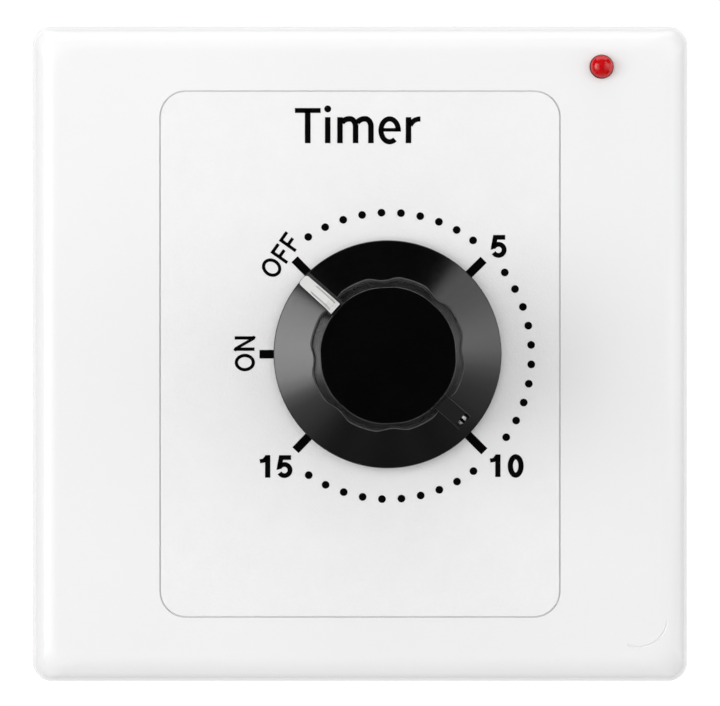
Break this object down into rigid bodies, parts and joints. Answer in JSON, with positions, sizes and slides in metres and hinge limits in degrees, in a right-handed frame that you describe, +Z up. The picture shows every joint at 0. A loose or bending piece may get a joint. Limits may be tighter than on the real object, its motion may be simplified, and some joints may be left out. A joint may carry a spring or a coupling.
{
  "type": "enlarger timer",
  "caption": "Square white wall-plate clockwork timer switch with a fluted black pointer knob, printed dial, red pilot lamp, geared movement, cam switch and rear screw terminals.",
  "frame": {"origin": "middle of the back (wall) face of the plate, half way between the two wall-box screw slots", "axes": "-Y out of the wall towards the user, +X to the right of the face, +Z up the wall"},
  "size_m": [0.086, 0.0626, 0.086],
  "materials": {
    "white_urea": "polished moulded urea, white",
    "label_film": "satin printed polycarbonate label",
    "base_nylon": "satin natural nylon",
    "knob_black": "glossy black ABS",
    "pointer_white": "white ABS insert",
    "lamp_red": "red tinted epoxy",
    "board_green": "green solder mask",
    "resistor_body": "beige lacquer",
    "diode_body": "black epoxy",
    "wire_red": "red PVC",
    "wire_blue": "blue PVC",
    "brass": "machined brass",
    "tinned": "tinned copper",
    "zinc_steel": "bright zinc-plated steel",
    "plate_steel": "rolled steel plate",
    "pinion_steel": "polished hardened steel",
    "spring_steel": "blued spring steel",
    "cam_nylon": "orange acetal",
    "phenolic": "brown phenolic",
    "case_black": "black moulded phenolic",
    "bronze": "phosphor bronze strip",
    "contact_silver": "silver alloy"
  },
  "bodies": {
    "wall_unit": {"front_cover": "white_urea", "dial_label": "label_film", "base_plate": "base_nylon", "timer_fixing_screws": "zinc_steel", "lamp_lens": "lamp_red", "lamp_leads": "tinned", "lamp_board": "board_green", "lamp_resistor": "resistor_body", "lamp_diode": "diode_body", "lamp_board_screws": "zinc_steel", "lamp_wire_live": "wire_red", "lamp_wire_neutral": "wire_blue", "wire_lugs": "tinned", "movement_front_plate": "plate_steel", "movement_rear_plate": "plate_steel", "frame_pillars": "zinc_steel", "front_bush": "brass", "rear_bush": "brass", "mainspring": "spring_steel", "spring_housing": "zinc_steel", "stop_pin": "pinion_steel", "moving_blade": "bronze", "fixed_blade": "bronze", "moving_contact": "contact_silver", "fixed_contact": "contact_silver", "contact_block": "phenolic", "contact_block_screws": "zinc_steel", "line_terminal": "brass", "load_terminal": "brass", "neutral_terminal": "brass", "terminal_clamps": "brass", "terminal_screws": "zinc_steel", "timer_case": "case_black", "case_screws": "zinc_steel"},
    "knob_shaft": {"knob": "knob_black", "knob_pointer": "pointer_white", "knob_insert": "brass", "knob_grub_screw": "zinc_steel", "main_arbor": "pinion_steel", "arbor_clip": "spring_steel", "main_wheel": "brass", "clutch_spring": "spring_steel", "clutch_collar": "brass", "switch_cam": "cam_nylon"},
    "second_mobile": {"second_wheel": "brass", "second_pinion": "pinion_steel"},
    "third_mobile": {"third_wheel": "brass", "third_pinion": "pinion_steel"},
    "escape_mobile": {"escape_wheel": "brass", "escape_pinion": "pinion_steel"},
    "pallet": {"pallet_lever": "pinion_steel", "pallet_pins": "pinion_steel", "pallet_staff": "pinion_steel", "inertia_ring": "brass"}
  },
  "joints": [
    {"name": "knob_turn", "type": "hinge", "parent": "wall_unit", "child": "knob_shaft", "pos_m": [0.0036, 0, 0], "axis": [0, 1, 0], "range_deg": [-45, 270], "deforming": ["mainspring", "moving_blade", "moving_contact"]},
    {"name": "second_turn", "type": "hinge", "parent": "wall_unit", "child": "second_mobile", "pos_m": [-0.00679, 0, 0.01039], "axis": [0, 1, 0], "continuous": true},
    {"name": "third_turn", "type": "hinge", "parent": "wall_unit", "child": "third_mobile", "pos_m": [-0.01379, 0, 0.00339], "axis": [0, 1, 0], "continuous": true},
    {"name": "escape_turn", "type": "hinge", "parent": "wall_unit", "child": "escape_mobile", "pos_m": [-0.0151, 0, -0.00399], "axis": [0, 1, 0], "continuous": true},
    {"name": "pallet_swing", "type": "hinge", "parent": "wall_unit", "child": "pallet", "pos_m": [-0.01097, 0, -0.00989], "axis": [0, 1, 0], "range_deg": [-5, 5]}
  ],
  "couplings": [
    {"joint": "second_turn", "follows": "knob_turn", "ratio": -6},
    {"joint": "third_turn", "follows": "knob_turn", "ratio": 33.6},
    {"joint": "escape_turn", "follows": "knob_turn", "ratio": -168}
  ]
}
